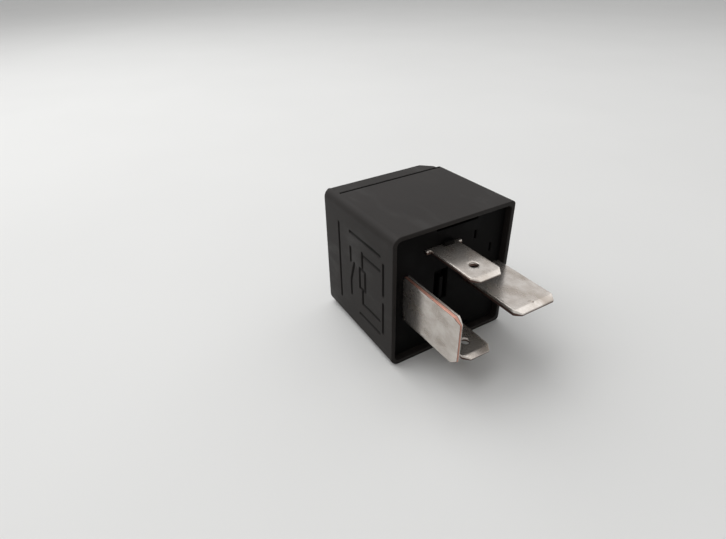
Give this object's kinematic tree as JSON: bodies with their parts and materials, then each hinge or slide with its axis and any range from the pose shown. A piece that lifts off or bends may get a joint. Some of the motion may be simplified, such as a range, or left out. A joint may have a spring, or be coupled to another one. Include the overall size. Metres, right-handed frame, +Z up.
{
  "type": "automotive relay",
  "caption": "Cube-shaped plug-in automotive relay with two wide load blades and two narrow coil blades, a clapper armature, a return spring and a latched cover.",
  "frame": {"origin": "middle of the footprint, on the surface that the relay lies on", "axes": "-Y along the blades, away from the body; +Y towards the closed end of the cover; +Z up; the circuit diagram faces -X"},
  "size_m": [0.0274, 0.0392, 0.028],
  "materials": {
    "cover_plastic": "fine matt moulded",
    "base_plastic": "moulded",
    "tinned_copper": "tin-plated, sheared copper edges",
    "bobbin_plastic": "moulded",
    "enamelled_wire": "enamelled copper",
    "soft_iron": "turned",
    "plated_iron": "zinc-plated",
    "spring_copper": "rolled strip",
    "contact_silver": "silver alloy",
    "spring_steel": "drawn wire",
    "copper_braid": "braided strands"
  },
  "bodies": {
    "relay_body": {"cover": "cover_plastic", "base": "base_plastic", "terminal_30": "tinned_copper", "terminal_87": "tinned_copper", "terminal_85": "tinned_copper", "terminal_86": "tinned_copper", "bobbin": "bobbin_plastic", "coil_winding": "enamelled_wire", "coil_lead_85": "enamelled_wire", "coil_lead_86": "enamelled_wire", "core": "soft_iron", "yoke": "plated_iron", "fixed_contact": "contact_silver", "rest_stop": "plated_iron", "return_spring": "spring_steel", "braid": "copper_braid"},
    "clapper": {"armature": "plated_iron", "contact_arm": "spring_copper", "arm_rivets": "soft_iron", "moving_contact": "contact_silver"}
  },
  "joints": [
    {"name": "armature_hinge", "type": "hinge", "parent": "relay_body", "child": "clapper", "pos_m": [0.0084, 0.01366, 0.014], "axis": [0, 0, 1], "range_deg": [0, 4], "stiffness_Nm_per_rad": 0.02, "springref_deg": -4.58}
  ]
}
